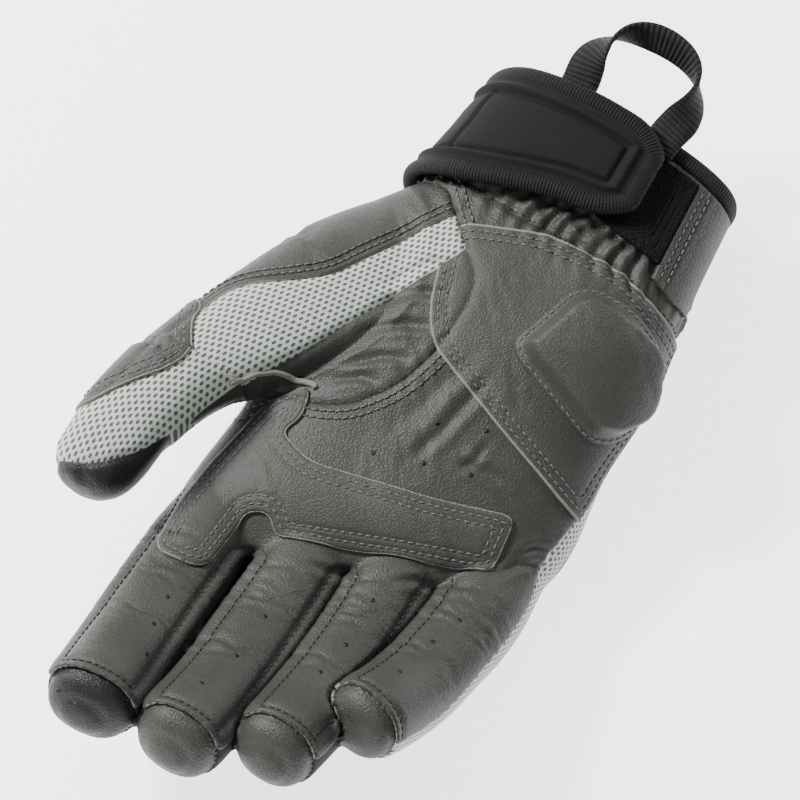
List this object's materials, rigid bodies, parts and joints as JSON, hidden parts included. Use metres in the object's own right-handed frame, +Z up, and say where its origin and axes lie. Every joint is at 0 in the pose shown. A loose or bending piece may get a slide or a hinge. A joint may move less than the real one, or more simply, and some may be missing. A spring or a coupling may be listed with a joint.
{
  "type": "motorcycle glove",
  "caption": "Right-hand leather motorcycle glove lying on its back, palm up, with a padded heel slider, a mesh thumb, a wrist strap and a pull loop at the cuff.",
  "frame": {"origin": "middle of the glove's box, on the surface that it lies on", "axes": "+Z up out of the palm, +Y towards the fingertips, +X towards the thumb side"},
  "size_m": [0.1386, 0.2654, 0.0608],
  "materials": {
    "palm_leather": "semi-gloss pebbled leather",
    "back_textile": "matt stretch cloth and leather, guessed",
    "black_leather": "semi-gloss",
    "mesh": "matt knitted mesh",
    "patch_leather": "semi-gloss pebbled leather with double stitching",
    "slider_leather": "semi-gloss leather over padding",
    "neoprene": "matt neoprene cloth",
    "binding": "ribbed binding tape",
    "hook_pad": "matt hook tape",
    "webbing": "ribbed webbing"
  },
  "bodies": {
    "root": {"palm_leather": "palm_leather", "back_panel": "back_textile", "index_tip": "black_leather", "middle_tip": "palm_leather", "ring_tip": "palm_leather", "little_tip": "palm_leather", "thumb_outer_panel": "palm_leather", "thumb_mesh_panel": "mesh", "thumb_inner_panel": "palm_leather", "thumb_tip": "black_leather", "thumb_knuckle_patch": "patch_leather", "palm_patch": "patch_leather", "heel_patch": "patch_leather", "heel_slider": "slider_leather", "wrist_strap": "neoprene", "strap_binding": "binding", "hook_pad": "hook_pad", "cuff_facing": "palm_leather", "cuff_binding": "binding", "pull_loop": "webbing"}
  },
  "joints": []
}
